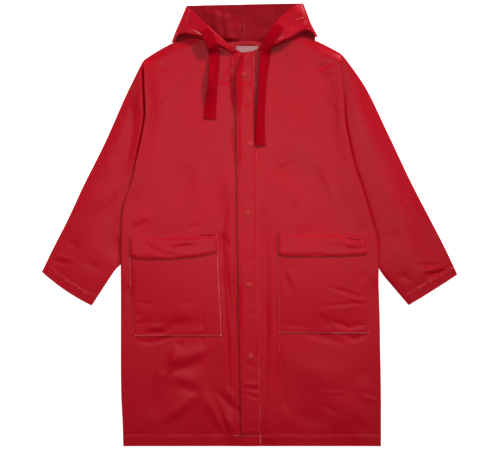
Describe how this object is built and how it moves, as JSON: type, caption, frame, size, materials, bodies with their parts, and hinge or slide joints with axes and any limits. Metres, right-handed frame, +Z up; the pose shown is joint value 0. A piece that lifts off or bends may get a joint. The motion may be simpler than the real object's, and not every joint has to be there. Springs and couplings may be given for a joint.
{
  "type": "kids rain jacket",
  "caption": "Long hooded raincoat for a child, laid flat and closed, with patch pockets, flaps, a snap strip and flat drawstrings.",
  "frame": {"origin": "on the table under the back panel, on the body's middle line, half way between the hem and the top of the hood", "axes": "+X towards the wearer's left sleeve, +Y from the hem to the hood, +Z up from the table"},
  "size_m": [0.7268, 0.7743, 0.0194],
  "materials": {
    "coated_cloth": "soft sheen of a thin coating on knit cloth",
    "drawstring_tape": "matte woven tape",
    "snap_cap": "enamelled cap",
    "neck_label": "smooth woven label"
  },
  "bodies": {
    "root": {"back": "coated_cloth", "front_right": "coated_cloth", "front_left": "coated_cloth", "placket": "coated_cloth", "sleeve_right": "coated_cloth", "sleeve_left": "coated_cloth", "hood_right": "coated_cloth", "hood_left": "coated_cloth", "pocket_right": "coated_cloth", "pocket_left": "coated_cloth", "flap_right": "coated_cloth", "flap_left": "coated_cloth", "drawstring_right": "drawstring_tape", "drawstring_left": "drawstring_tape", "snap_1": "snap_cap", "snap_2": "snap_cap", "snap_3": "snap_cap", "snap_4": "snap_cap", "snap_5": "snap_cap", "cuff_snap_right_1": "snap_cap", "cuff_snap_right_2": "snap_cap", "cuff_snap_left_1": "snap_cap", "cuff_snap_left_2": "snap_cap", "neck_label": "neck_label", "hanger_loop": "coated_cloth"}
  },
  "joints": []
}
